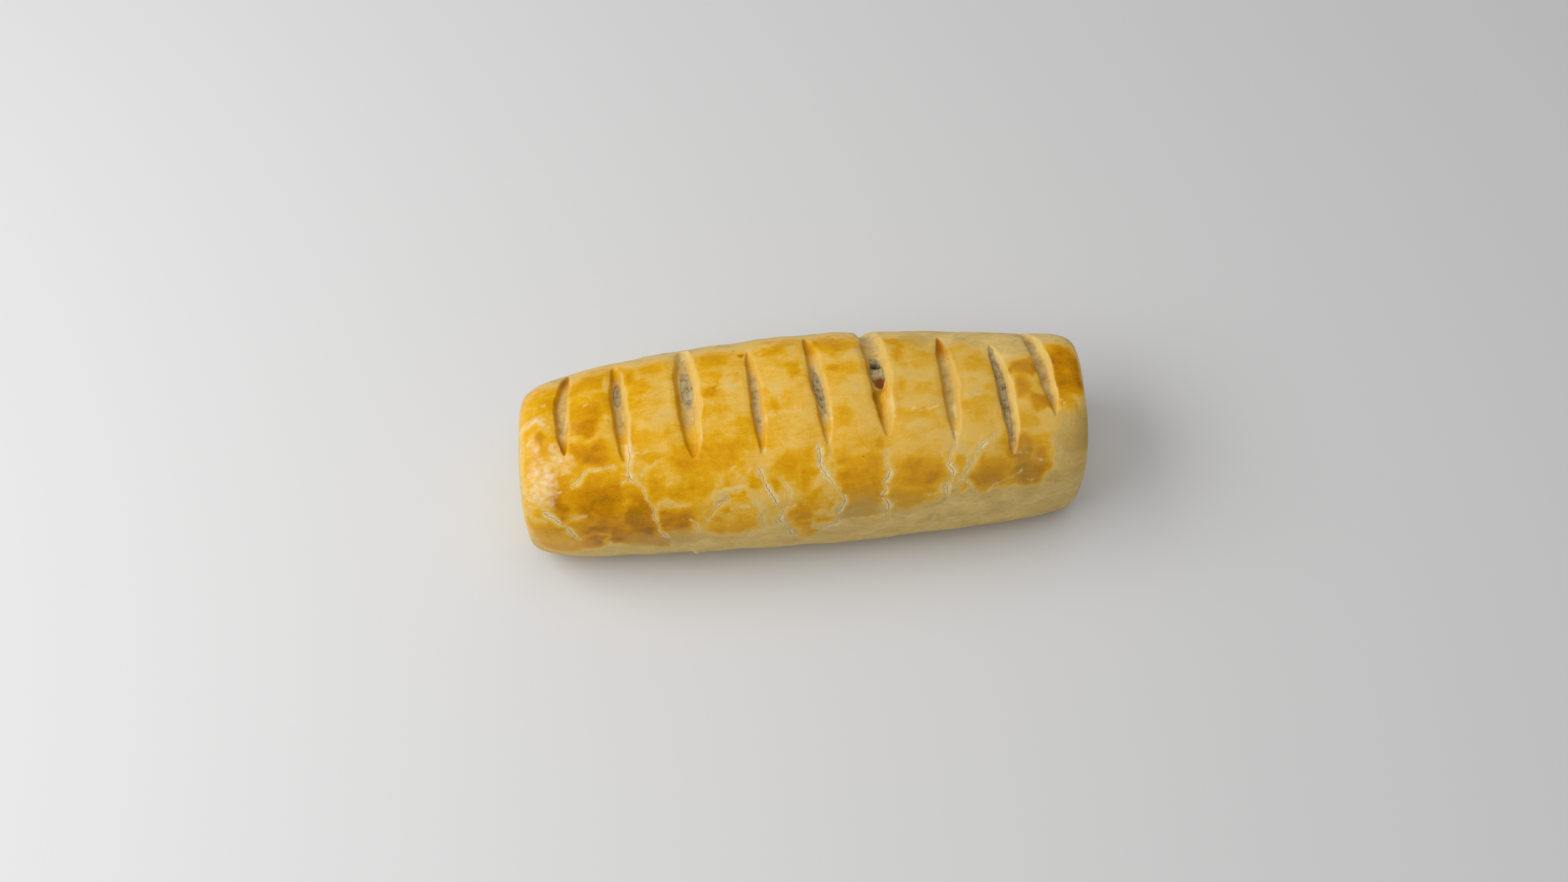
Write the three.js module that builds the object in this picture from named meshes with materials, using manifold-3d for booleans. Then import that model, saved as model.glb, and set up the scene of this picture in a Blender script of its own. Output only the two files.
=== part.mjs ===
// A baked fish roll: one long pastry case with rounded ends, slashed across the top.
// The slashes gape in the oven, so the filling inside shows at the bottom of most of them.
// Millimetres, +Z up. The roll lies along X on its flat base, with the base's middle at the origin.
import * as THREE from "three";
import { mergeVertices } from "three/addons/utils/BufferGeometryUtils.js";
import Module from "manifold-3d";

// Size of the whole roll
const LENGTH = 150;
const MIDDLE_HALF_WIDTH = 28.45;
const HEIGHT = 41;

// Cross-section: a squarish oval, widest below half height, with its underside flattened by its weight
const WIDEST_LEVEL = 18;
const SECTION_POWER = 2.5;
const FLATTENED_DEPTH = 2.5;

// Ends: narrower, lower and blunt. The right one is squarer on the far side, and slanted and flared that way.
const LEFT_END = { halfWidth: 21.8, drop: 0.1, power: 12, powerChange: 0, slant: 0.5 };
const RIGHT_END = { halfWidth: 22.3, drop: 0.03, power: 14, powerChange: 4, slant: 1.6 };
const FLARE = { at: 72, span: 11, share: 0.08 };
const BOW = 2.6;

// Hand-rolled unevenness: slow swells in the dough, and a sag beside each slash
const SWELL = { height: 0.4, waves: [9, 15], turns: 2, start: 0.7 };
const SAG = { depth: 0.8, span: 3.5 };

// Layers, each as distances inwards from the nominal size on the top, the sides, the underside and the ends
const SKIN = { top: 0, side: 0, bottom: -FLATTENED_DEPTH, end: 0 };
const HOLLOW = { top: 3.5, side: 4.5, bottom: 4, end: 10 };
const FILLING_GAP = 0.3;

// Mesh fineness
const SKIN_GRID = { around: 48, along: 44 };
const INNER_GRID = { around: 24, along: 18 };
const SLASH_GRID = { sides: 8, steps: 14 };
const CRACK_GRID = { sides: 4, stepsPerLeg: 3 };

// Slashes, from the far end over the top to the near end: places along X, and degrees round from the top line
const OPEN_SLASH_DEPTH = 6;
const SHUT_SLASH_DEPTH = 2.4;
const SLASHES = [
  { route: [[-62, 46], [-63.4, 12], [-62.4, -19]], width: 3.6, depth: SHUT_SLASH_DEPTH },
  { route: [[-49, 41], [-48.4, 12], [-47, -26]], width: 3.4, depth: OPEN_SLASH_DEPTH },
  { route: [[-31.3, 46], [-30.2, 10], [-29.8, -27]], width: 5.4, depth: OPEN_SLASH_DEPTH },
  { route: [[-13, 33], [-12, 4], [-12, -29]], width: 2.9, depth: OPEN_SLASH_DEPTH },
  { route: [[2.8, 43], [4, 8], [4.9, -28]], width: 3.2, depth: OPEN_SLASH_DEPTH },
  { route: [[17.4, 58], [19.8, 14], [20.4, -25]], width: 4.4, depth: OPEN_SLASH_DEPTH },
  { route: [[38.2, 37], [37.9, 4], [38, -30]], width: 3, depth: OPEN_SLASH_DEPTH },
  { route: [[50.6, 27], [51.9, -3], [53.2, -41]], width: 3, depth: OPEN_SLASH_DEPTH },
  { route: [[60.6, 45], [63, 8], [65.3, -20]], width: 2.2, depth: SHUT_SLASH_DEPTH },
];

// Cracks where the crust split as it rose: the near side's, then a few on the far side
const CRACK_WIDTH = 1.3;
const CRACK_DEPTH = 1.1;
const CRACKS = [
  [[-69.5, -55], [-64.5, -66], [-60.5, -87]],
  [[-49, -29], [-57, -31], [-62.5, -41]],
  [[-46.4, -29], [-46.3, -37], [-41, -56], [-40, -72], [-37.5, -86]],
  [[-44.5, -40], [-42, -33], [-36.5, -26]],
  [[-21, -51], [-25.5, -60], [-28.5, -69]],
  [[-13.5, -36], [-10.5, -52], [-8.2, -61], [-8.7, -71], [-5.5, -88]],
  [[-8.5, -41], [-5.6, -51], [-6.8, -59]],
  [[-14.5, -61], [-13, -70], [-12.8, -79]],
  [[2.7, -31], [3, -39], [8, -56], [6.6, -74], [1.5, -86]],
  [[21.8, -33], [20.5, -45], [18.7, -55], [20.4, -84]],
  [[38.3, -33], [36.2, -44], [36.8, -51], [34, -75]],
  [[50, -29], [44, -39], [39.5, -52], [42.5, -64]],
  [[54, -43], [58, -45], [62.5, -50]],
  [[-55, 60], [-52, 78], [-54, 95]],
  [[-22, 58], [-19, 76], [-21, 94]],
  [[10, 64], [13, 80], [11, 96]],
  [[45, 56], [42, 76], [44, 95]],
];

const COLOURS = { pastry: 0xc79a45, filling: 0x86745a };

const wasm = await Module();
wasm.setup();

const half = LENGTH / 2;
const radians = THREE.MathUtils.degToRad;
const placeOf = ([x, turn]) => new THREE.Vector2(x, radians(turn));
const routeOf = (points) => new THREE.SplineCurve(points.map(placeOf));
const slashRoutes = SLASHES.map((slash) => routeOf(slash.route));

function inwards(layer, distance) {
  const moved = Object.entries(layer).map(([name, value]) => [name, value + distance]);
  return Object.fromEntries(moved);
}

const endAt = (along) => (along < 0 ? LEFT_END : RIGHT_END);

function endPower(along, turn) {
  const end = endAt(along);
  return end.power + end.powerChange * Math.sin(turn);
}

// How far the slashes let the skin sag at a place, fading out past each slash's two ends
function sagAt(x, turn) {
  let sag = 0;
  for (const route of slashRoutes) {
    const [far, middle, near] = route.points;
    const share = THREE.MathUtils.clamp((far.y - turn) / (far.y - near.y), 0, 1);
    const place = route.getPoint(share);
    const fade = Math.exp(-(((turn - middle.y) / (0.5 * (far.y - near.y))) ** 4));
    sag += SAG.depth * fade * Math.exp(-(((x - place.x) / SAG.span) ** 2));
  }
  return sag;
}

function swellAt(x, turn) {
  const lengthwise = SWELL.waves.reduce((sum, wave) => sum + Math.sin(x / wave + SWELL.start), 0);
  const round = Math.sin(SWELL.turns * turn + SWELL.start);
  return (SWELL.height * lengthwise * round) / SWELL.waves.length;
}

// A point of a layer. Along runs from -1 to 1 over the length, reach from 0 on the axis to 1 at the skin,
// and turn is the angle from the top line, positive towards the far side.
function layerPoint(layer, along, reach, turn) {
  const end = endAt(along);
  const power = endPower(along, turn);
  const scale = (Math.abs(along) ** power + reach ** power) ** (-1 / power);
  const u = along * scale;
  const k = reach * scale;
  const [across, up] = [Math.sin(turn), Math.cos(turn)];
  const oval = (Math.abs(across) ** SECTION_POWER + Math.abs(up) ** SECTION_POWER) ** (-1 / SECTION_POWER);
  const flare = FLARE.share * Math.exp(-(((half * u - FLARE.at) / FLARE.span) ** 2)) * 0.5 * (1 + across);
  const barrel = MIDDLE_HALF_WIDTH - (MIDDLE_HALF_WIDTH - end.halfWidth) * u * u;
  const relief = swellAt(half * u, turn) - sagAt(half * u, turn);
  const halfWidth = barrel * (1 + flare) - layer.side + relief;
  const rise = (HEIGHT - WIDEST_LEVEL) * (1 - end.drop * u * u) - layer.top + relief;
  const fall = WIDEST_LEVEL - layer.bottom;
  const y = halfWidth * k * oval * across;
  const z = WIDEST_LEVEL + (up > 0 ? rise : fall) * k * oval * up;
  const slant = (end.slant * Math.abs(u) ** 3 * y) / MIDDLE_HALF_WIDTH;
  const x = (half - layer.end) * u + slant;
  return new THREE.Vector3(x, y - BOW * u * u, z);
}

function pointAt(layer, x, turn) {
  const along = x / half;
  const power = endPower(along, turn);
  return layerPoint(layer, along, (1 - Math.abs(along) ** power) ** (1 / power), turn);
}

function mapVertices(geometry, place) {
  const position = geometry.getAttribute("position");
  const vertex = new THREE.Vector3();
  for (let i = 0; i < position.count; i += 1) {
    const placed = place(vertex.fromBufferAttribute(position, i));
    position.setXYZ(i, placed.x, placed.y, placed.z);
  }
  return geometry;
}

// A whole layer: half the roll's outline in plan, turned about the long axis and then shaped
function layerGeometry(layer, grid) {
  const corner = MIDDLE_HALF_WIDTH / 4;
  const flat = MIDDLE_HALF_WIDTH - corner;
  const straight = half - corner;
  const outline = new THREE.Path()
    .moveTo(0, half)
    .lineTo(flat, half)
    .absarc(flat, straight, corner, Math.PI / 2, 0, true)
    .lineTo(MIDDLE_HALF_WIDTH, -straight)
    .absarc(flat, -straight, corner, 0, -Math.PI / 2, true)
    .lineTo(0, -half);
  const lathe = new THREE.LatheGeometry(outline.getSpacedPoints(grid.along), grid.around);
  return mapVertices(lathe, (vertex) => {
    const reach = Math.hypot(vertex.x, vertex.z) / MIDDLE_HALF_WIDTH;
    return layerPoint(layer, vertex.y / half, reach, Math.atan2(vertex.x, vertex.z));
  });
}

// A spindle that follows a route over the skin, pointed at both ends, to cut a slash or a crack
function gashGeometry(route, width, depth, sides, steps) {
  const outside = inwards(SKIN, -1);
  const spindle = new THREE.SphereGeometry(1, sides, steps);
  return mapVertices(spindle, (vertex) => {
    const share = Math.acos(THREE.MathUtils.clamp(vertex.y, -1, 1)) / Math.PI;
    const [here, before, after] = [share, share - 0.01, share + 0.01]
      .map((t) => route.getPoint(THREE.MathUtils.clamp(t, 0, 1)))
      .map((place) => pointAt(SKIN, place.x, place.y));
    const place = route.getPoint(share);
    const outward = pointAt(outside, place.x, place.y).sub(here).normalize();
    const sideways = outward.clone().cross(after.sub(before)).normalize();
    return here.addScaledVector(sideways, (vertex.x * width) / 2).addScaledVector(outward, vertex.z * depth);
  });
}

function solidOf(geometry) {
  geometry.deleteAttribute("normal");
  geometry.deleteAttribute("uv");
  const merged = mergeVertices(geometry);
  const vertProperties = merged.getAttribute("position").array;
  return new wasm.Manifold(new wasm.Mesh({ numProp: 3, vertProperties, triVerts: merged.index.array }));
}

function geometryOf(solid) {
  const { vertProperties, triVerts } = solid.getMesh();
  const geometry = new THREE.BufferGeometry();
  geometry.setAttribute("position", new THREE.BufferAttribute(vertProperties, 3));
  geometry.setIndex(new THREE.BufferAttribute(triVerts, 1));
  return geometry;
}

function pastryGeometry() {
  const under = new THREE.BoxGeometry(2 * LENGTH, LENGTH, LENGTH).translate(0, 0, -LENGTH / 2);
  let pastry = solidOf(layerGeometry(SKIN, SKIN_GRID))
    .subtract(solidOf(under))
    .subtract(solidOf(layerGeometry(HOLLOW, INNER_GRID)));
  SLASHES.forEach(({ width, depth }, i) => {
    const slash = gashGeometry(slashRoutes[i], width, depth, SLASH_GRID.sides, SLASH_GRID.steps);
    pastry = pastry.subtract(solidOf(slash));
  });
  for (const points of CRACKS) {
    const steps = CRACK_GRID.stepsPerLeg * (points.length - 1);
    const crack = gashGeometry(routeOf(points), CRACK_WIDTH, CRACK_DEPTH, CRACK_GRID.sides, steps);
    pastry = pastry.subtract(solidOf(crack));
  }
  return geometryOf(pastry);
}

function piece(name, geometry, roughness) {
  geometry.computeVertexNormals();
  const material = new THREE.MeshStandardMaterial({ color: COLOURS[name], roughness, metalness: 0 });
  const mesh = new THREE.Mesh(geometry, material);
  mesh.name = name;
  return mesh;
}

const pastry = piece("pastry", pastryGeometry(), 0.5);
const filling = piece("filling", layerGeometry(inwards(HOLLOW, FILLING_GAP), INNER_GRID), 0.6);

// The slanted end moves the middle of the box a little, so the pieces are set back over the origin
const middle = new THREE.Box3().setFromObject(pastry).getCenter(new THREE.Vector3());
const roll = new THREE.Group();
roll.add(pastry, filling);
for (const mesh of roll.children) mesh.position.set(-middle.x, -middle.y, 0);

export default roll;
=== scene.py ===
import math
from collections import namedtuple

import bmesh
import bpy
import numpy as np
from bpy.props import FloatProperty, FloatVectorProperty, IntProperty, PointerProperty
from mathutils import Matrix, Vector, noise
from mathutils.kdtree import KDTree


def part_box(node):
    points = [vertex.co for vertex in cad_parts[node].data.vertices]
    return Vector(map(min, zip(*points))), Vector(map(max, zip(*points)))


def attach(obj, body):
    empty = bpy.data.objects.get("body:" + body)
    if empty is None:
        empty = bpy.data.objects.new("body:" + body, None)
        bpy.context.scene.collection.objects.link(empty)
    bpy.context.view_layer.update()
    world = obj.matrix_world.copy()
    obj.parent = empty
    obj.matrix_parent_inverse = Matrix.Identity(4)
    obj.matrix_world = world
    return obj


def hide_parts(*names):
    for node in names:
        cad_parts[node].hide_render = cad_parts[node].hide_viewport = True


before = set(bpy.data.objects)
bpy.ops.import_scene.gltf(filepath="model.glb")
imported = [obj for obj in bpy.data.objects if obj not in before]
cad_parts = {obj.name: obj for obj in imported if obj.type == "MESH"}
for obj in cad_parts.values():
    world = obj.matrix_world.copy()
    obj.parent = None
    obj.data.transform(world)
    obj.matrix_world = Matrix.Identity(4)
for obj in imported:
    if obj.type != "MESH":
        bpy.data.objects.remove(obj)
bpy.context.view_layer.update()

bl_info = {
    "name": "Fish Roll",
    "version": (1, 0, 0),
    "blender": (4, 5, 0),
    "location": "View3D > Sidebar > Fish Roll",
    "description": "A baked fish roll: slashed and cracked pastry, its fish filling, and a studio stage",
    "category": "Add Mesh",
}

MM = 0.001
HALF_TURN_OF_A_FACE = math.pi / 4
# Length of a degree round the roll, on the skin
DEGREE_LENGTH = 0.47 * MM

# The two ends: narrower, lower and blunt. The right one is squarer on the far side, and slanted that way.
End = namedtuple("End", "half_width drop power power_change slant")
LEFT_END = End(21.8 * MM, 0.1, 12, 0, 0.5 * MM)
RIGHT_END = End(22.3 * MM, 0.03, 14, 4, 1.6 * MM)

# Layers, as distances inwards from the nominal size on the top, the sides, the underside and the ends
Layer = namedtuple("Layer", "top side bottom end")
SKIN = Layer(0, 0, -2.5 * MM, 0)
HOLLOW = Layer(3.5 * MM, 4.5 * MM, 4 * MM, 10 * MM)
CORE = Layer(3.8 * MM, 4.8 * MM, 4.3 * MM, 10.3 * MM)

# Slow swells of the hand-rolled dough: wave lengths along the roll, waves round it and where they start
SWELL_WAVES = (9 * MM, 15 * MM)
SWELL_TURNS = 2
SWELL_START = 0.7

# Slashes from the far end over the top to the near end, in mm along the roll and degrees round from the
# top line. Windows are the ovals worn through to the filling: middle and half turn in degrees, half width
# and aside in mm. Soak is the stretch where the filling has stained the thin floor grey, and how much.
# The three toasts say how brown the far tip, the floor and the near tip are, and pale says how bare the
# right slope is; its pale colour also paints the highlight of the light from the left on that slope.
Slash = namedtuple("Slash", "route width windows soak toasts pale")
SLASHES = (
    Slash(((-61.5, 50), (-63.5, 12), (-62.4, -20)), 3.7, (), (32, -10, 0.75), (0.95, 0, 1), 0.6),
    Slash(((-48.9, 44), (-48.4, 12), (-47.2, -28)), 4.1, ((20.5, 9.5, 0.98, 0.3),), (32, -10, 0.7),
          (0.1, 0, 0.1), 0.7),
    Slash(((-30.9, 52), (-30.6, 10), (-29.6, -29)), 6, ((17, 13.5, 1.42, 0.8),), (50, -10, 0.7),
          (0, 0, 0.3), 0.7),
    Slash(((-13.1, 36), (-12.4, 3), (-12, -30)), 3.3, (), (22, -18, 0.85), (0.3, 0, 0.15), 0.35),
    Slash(((2.6, 45), (4.2, 6), (5.4, -28)), 3.8, ((6, 13, 0.9, 0.3),), (24, -15, 1), (0.5, 0, 0), 0.4),
    Slash(((18, 72), (20, 14), (20.6, -26)), 5.8, ((15.5, 11.5, 1.7, 0.4),), (60, 6, 0.75),
          (0, 0, 0.2), 0.55),
    Slash(((38, 40), (38.3, 4), (38.2, -32)), 4.1, (), (27, -20, 0.7), (1, 0, 0), 0.5),
    Slash(((51.2, 32), (52.6, -4), (53.3, -43)), 3.9, ((-1, 31, 0.9, 0.1),), (30, -40, 1), (0, 0, 0), 0.75),
    Slash(((61.2, 62), (63.4, 15), (65.4, -21)), 4, (), (50, -14, 0.8), (0, 0, 0.3), 0.9),
)
# The hand wavers as it cuts: waves round the roll, and how far each moves the cut
WAVER = ((11, 0.12 * MM), (23, 0.05 * MM), (41, 0.02 * MM))
WIDTH_WAVER = (17, 0.05)
# Where the walls of a slash start and end, in half widths from its middle
LEFT_WALL = (-0.9, -0.45)
RIGHT_SLOPE = (0.4, 1.4)
# Curled lips: how far past the edge of the slash each one lies, and its width
Lip = namedtuple("Lip", "past width")
LEFT_LIP = Lip(0.9 * MM, 0.9 * MM)
RIGHT_LIP = Lip(0.3 * MM, 0.5 * MM)
# Colours across a slash, in half widths from its middle: where the pale slope, partly a painted highlight,
# and the soaked floor start and are full, and the middle and width of the browned left wall, which is
# painted shade. The pale slope ends past the edge in mm.
PALE_LIT_SLOPE = (0.5, 1)
PALE_LIT_EDGE = (0, 0.5 * MM)
SOAKED_FLOOR = (-0.65, -0.25)
SHADED_WALL, SHADED_WALL_WIDTH = -0.62, 0.25
# Colours along a slash: shares of the way where the far tip ends and the near tip starts, degrees over which
# the soaked stretch fades, and how far a toasted tip covers the pale slope
FAR_TIP = (0.1, 0.28)
NEAR_TIP = (0.78, 0.95)
SOAK_FADE = 6
TOAST_COVER = 0.7

# Cracks where the crust split as it rose, in mm along and degrees round: wide ones, fine ones, and pale
# lines where the skin only stretched
CRACKS = (
    ((-46.1, -16), (-45.9, -25), (-46.4, -33), (-46.5, -37), (-44, -41), (-43, -44), (-42, -51),
     (-40.7, -55.5), (-41, -60), (-40.2, -66), (-40, -73), (-38.5, -80), (-37.5, -85), (-36, -92)),
    ((-69.5, -55), (-68, -59), (-66, -63), (-64.5, -66.5), (-63.5, -69), (-62.5, -75), (-61.5, -81),
     (-60.5, -87)),
    ((-13.5, -36), (-12.5, -41), (-11.5, -47), (-10, -54), (-8.5, -60.5)),
    ((-8, -61), (-7.5, -64), (-8.7, -70), (-8.5, -73), (-7.5, -76), (-6.8, -81), (-5.5, -88), (-4.7, -94)),
    ((2.7, -27), (3, -33), (2.8, -39), (4, -44), (5.5, -48.5), (7, -53), (8, -55.5)),
    ((8, -55.5), (8.6, -60), (8, -64), (6.8, -70), (6.7, -76), (6.3, -80), (3, -82), (1.5, -85.5)),
    ((21.8, -33), (20, -35.5), (19.3, -38), (20, -42), (20.6, -46), (18.7, -52), (19.2, -56), (18.3, -59.5),
     (19.8, -65), (20, -71), (20, -77), (20.5, -84)),
    ((38, -25), (38.5, -32), (37, -38), (36, -44.5), (37.2, -49), (36.5, -52), (35.5, -57), (35.3, -62),
     (35.6, -70)),
    ((50, -29), (47, -33), (44.5, -37), (43, -43), (40.5, -48.5), (39.5, -52)),
    ((-22, 58), (-20.5, 66), (-19, 76), (-20.5, 85), (-21, 94)),
    ((45, 56), (43, 65), (42, 76), (43.5, 86), (44, 95)),
)
FINE_CRACKS = (
    ((-46.5, -37), (-49.5, -40.5)),
    ((-49, -29), (-53, -30.5), (-57, -31), (-58.5, -34.5), (-60, -38), (-62.5, -41)),
    ((-64.5, -66.5), (-63.5, -63), (-61, -60.5), (-57, -58.5)),
    ((-21, -51), (-24, -56.5), (-26, -61), (-28.5, -69)),
    ((-30.5, -67), (-30, -74), (-29.6, -82)),
    ((-11.5, -26), (-11.8, -32)),
    ((-8.5, -41), (-7, -46), (-5.5, -50.5), (-6, -55), (-6, -60), (-8, -61)),
    ((-8, -61), (-3, -60)),
    ((-14.5, -61), (-13.2, -66), (-13.3, -71), (-12.6, -75), (-12.8, -79)),
    ((5.1, -20), (5.6, -27), (5.9, -32), (4.5, -35)),
    ((6.5, -58), (9, -54)),
    ((18.3, -59.5), (16, -61.5)),
    ((34.3, -70), (34, -75)),
    ((31.5, -80), (32, -86), (33, -91)),
    ((37.5, -51.5), (39.5, -53), (41.5, -57), (42.5, -64), (43.2, -70)),
    ((52.5, -40), (55, -44)),
    ((20.2, 19), (20.6, 23), (21, 28)),
    ((20.6, 23), (19.8, 25.5)),
    ((58, -43.5), (60.5, -48), (62.5, -50)),
    ((13, 72), (15, 82), (14, 92)),
)
STRETCH_LINES = (
    ((-43.5, -38), (-42, -33), (-39, -29), (-36.5, -26)),
    ((-62.5, -41), (-66, -44)),
    ((-18.5, -34), (-21, -37.5), (-22.8, -40.5), (-23.5, -46)),
    ((-8.7, -73), (-10, -75), (-13, -79), (-16.5, -82)),
    ((35, -35), (34, -41)),
    ((28.5, -60), (30.5, -62.5), (33, -60.5), (35, -61)),
    ((-59, 20), (-56, 21), (-54, 20)),
    ((-58, 12), (-55, 13), (-51, 14)),
    ((-44, 10), (-39, 12), (-36, 15), (-33, 12.5)),
    ((-25, 9), (-20, 12), (-14, 11)),
    ((-10.5, -9), (-7, -9), (-4, -8), (0, -8.5)),
    ((12, 1), (14, 2), (16, 1)),
    ((42, 7), (45, 8), (48, 6)),
    ((41, -4), (44, -6), (47, -5)),
    ((27, -12), (31, -14), (36, -10)),
    ((56, -58), (58, -61), (60, -60)),
    ((-39.5, -57), (-36, -55), (-31, -54)),
    ((-33, -62), (-31, -66), (-30.3, -70)),
    ((-17, -39), (-13.5, -37)),
    ((-22, -60), (-19, -57), (-17, -57.5), (-15, -60), (-13.5, -65)),
    ((3.5, -58), (5, -57), (8, -56)),
    ((6, -79), (9, -76), (13, -77), (17, -77)),
    ((22, -55), (24, -53), (26, -54)),
    ((46, -66), (48, -60), (52, -56.5), (55, -54), (56, -50)),
    ((53, -41), (57, -43), (60, -47)),
    ((63, -61), (65.5, -57), (65.8, -50), (65.5, -46)),
    ((66, -10), (68, -13), (70, -17)),
    ((-45.5, -24), (-41, -23), (-37, -23)),
    ((-68, 0), (-66, 2), (-64.8, 2)),
    ((-74, -35), (-71, -34), (-69, -36)),
    ((-52, 24), (-51.3, 30), (-51.5, 35)),
)

# Edges of the egg wash, in mm along and degrees round: low on the near side, and over the top. The wash
# fades from so many degrees before an edge to so many past it.
WASH_FADE = (4, 6)
NEAR_WASH_EDGE = (
    (-75, -112), (-62, -106), (-58, -98), (-52, -88), (-46, -90), (-38, -95), (-33, -84), (-27, -82),
    (-16, -83), (-11, -78), (-8, -72), (-6, -82), (-4, -98), (0, -98), (2, -84), (7, -78), (9, -77),
    (18, -78), (22, -84), (26, -74), (30, -68), (36, -66), (42, -62), (50, -60), (56, -66), (63, -66),
    (66, -30), (75, -14))
FAR_WASH_EDGE = (
    (-75, 56), (-66, 50), (-50, 43), (-36, 40), (-20, 44), (-10, 47), (14, 45), (24, 44), (28, 38),
    (36, 34), (42, 30), (50, 22), (54, 18), (62, 20), (65, 32), (75, 32))
# The left end face is bare beyond this place along the roll, over this stretch of degrees, with soft edges
END_FACE, END_FACE_FADE = -73.4, 0.5
BARE_END, BARE_END_FADE = (8, -50), 5
# On both end faces the wash fades out between these shares of the way from the middle to the rim
END_WASH = (0.62, 0.95)
# The wash bakes paler with each mm to the right, and is duller between these places, by this share: a tan
# that paints the shade where less light reaches the right part of the roll
WASH_LOSS = 0.001
DULL_SHADE_START, DULL_SHADE_END = (-10, 45), (58, 66)
DULL_SHADE_SHARE = 0.26
# How far brushing drags the edges of the patches: size of the strokes, reach in mm along and in degrees round
DRAGS = ((5 * MM, 2.4, 5), (1.6 * MM, 0.9, 2))

# Brushed patches of more or less browning: place along in mm, degrees round, half length, half turn, change.
# They go from the left end to the right one, strip by strip between the slashes, then come paler and darker
# ones all over, and the far side. A patch fades out between these shares of its reach.
PATCH_FADE = (0.55, 1.35)
PATCHES = (
    (-66.5, 35, 1.8, 4, 0.14), (-68, 20, 3, 7, 0.14), (-68.5, -6, 1.4, 6, 0.3), (-65, -36, 3, 9, 0.16),
    # The weak patch at -70 along and -80 round is kept pale, which paints the light on the lower left corner
    (-65, -52, 2.3, 9, 0.26), (-70, -80, 7, 21, 0.05),
    (-66, -75, 2.4, 7, 0.1), (-53.5, -80, 8, 14, 0.44),
    (-55.7, 31, 3.8, 8, 0.17), (-57, 2, 4, 10, 0.2), (-56, -4, 2.5, 5, 0.28), (-55.5, -22, 5.5, 9, 0.34),
    (-51.5, 27, 1.4, 6, -0.14), (-51, -5, 1.8, 9, -0.1), (-54, -53, 7.5, 20, 0.3), (-53, -53, 4, 10, 0.38),
    (-44.5, -64, 5, 22, 0.45),
    (-44.2, 30, 1.4, 8, 0.17), (-39, 32, 2.6, 7, 0.16), (-42, 17, 3.2, 5, 0.13), (-39, 10, 6, 3, -0.1),
    # The paler patch at -39 along and -2 round paints the sheen of the light on the wash
    (-39, -2, 5.5, 7, -0.12), (-40, -27, 4, 5, 0.15), (-40, -45, 2.6, 8, 0.24), (-33, -31, 3, 7, 0.22),
    (-30, -30, 7, 9, 0.14), (-31, -46, 6.5, 6.5, 0.17), (-35, -66, 4.4, 10, 0.36),
    (-26, -44, 2.8, 6, 0.15), (-24.5, -66, 3, 11, 0.13), (-22, 36, 4, 8, 0.13), (-23, 19, 2, 6, 0.16),
    (-24, 7, 1.7, 4, 0.22), (-18.3, 16, 1.2, 2, 0.15), (-20, -28, 4, 6, 0.13), (-15, -48, 5, 5.5, 0.15),
    (-11.3, -58, 2, 4, 0.15), (-9, -50, 1.7, 7, 0.17), (-17, -70, 4, 11, 0.05), (-14.8, 32.5, 0.8, 2, 0.5),
    (-6, 36, 4.5, 8, 0.14), (-1.5, 18, 3, 3.5, 0.2), (-7.8, -2, 1.4, 6, 0.16), (-5.5, -37, 2.5, 8, 0.17),
    (0, -45, 3.4, 17, 0.22), (-1, -70, 5.5, 13, 0.25), (-2, -92, 2.2, 8, 0.12),
    (11, 36.5, 6.5, 9, 0.28), (8.8, 17, 2, 3.5, 0.2), (10.5, -12, 1.5, 6, 0.12), (15, 3, 2, 4, -0.1),
    (12, -44, 7.2, 10.5, 0.29), (17.5, -30, 1.2, 3, 0.2), (5, -67, 2.5, 8, 0.1), (23, -49, 3.2, 6, 0.14),
    (26, 31, 1.1, 9, 0.22), (26.3, 2, 1.4, 5, 0.16), (31.5, 26, 2, 2, 0.14), (29, -47, 6, 8, 0.32),
    (30.5, -48, 2.8, 6, 0.4), (13, -59, 7, 12, 0.26), (27, -61, 7, 8, 0.22),
    (44.5, 18, 3, 3.2, 0.14), (49, 0, 1.4, 3, 0.17), (45, 18, 4.5, 7, 0.08), (45.5, -15, 4.5, 8, 0.06),
    (39, -43, 1.8, 5, 0.18), (47.5, -49, 5.2, 8, 0.34), (38, -62, 2, 6, 0.16), (46, -57, 6.5, 8, 0.4),
    (58.5, 11, 3.8, 5.5, 0.46), (57, -2, 2.6, 8, 0.4), (61, -12, 3, 5.5, 0.44), (61, -38, 3.6, 7, 0.4),
    (57.5, -22, 3.5, 8, 0.1), (57, -43, 5.5, 14, 0.56), (59, -55, 5, 9, 0.52), (60.5, -64, 1.6, 3, 0.18),
    (69.5, 9, 4.8, 23, 0.47), (72, 10, 1.5, 15, 0.58), (68.7, 11, 1, 4, -0.14), (72.5, -19, 1.4, 7, 0.26),
    (30, 11, 5.5, 3, -0.1), (32, -9, 5, 4, -0.12), (28, -23, 5, 4, -0.06), (45, 8, 4, 3.5, -0.14),
    (45.5, -6, 3.5, 2.5, -0.13), (13, 5, 3.5, 5, -0.07), (54.5, -6, 1.5, 6, -0.1),
    (-20, 13, 4, 4, -0.12), (-7, 3, 2.5, 4, -0.12), (-4, 24, 4, 2.5, -0.1), (13, 25, 4, 4, -0.1),
    (32.5, 25, 4, 3, 0.1), (45, 28, 4, 2, 0.08), (28, -16, 3.5, 4, 0.1), (46, -22, 5, 6, 0.08),
    (10, -13, 2, 7, 0.1), (12, -26, 5, 5, 0.08),
    (20.3, -7, 1.5, 12, 0.42), (26, 28, 1.6, 13, 0.26), (12, -70, 6, 8, 0.12), (-41, -86, 6, 9, 0.2),
    (-30, 60, 30, 8, 0.1), (40, 62, 20, 8, 0.08),
)
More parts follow.
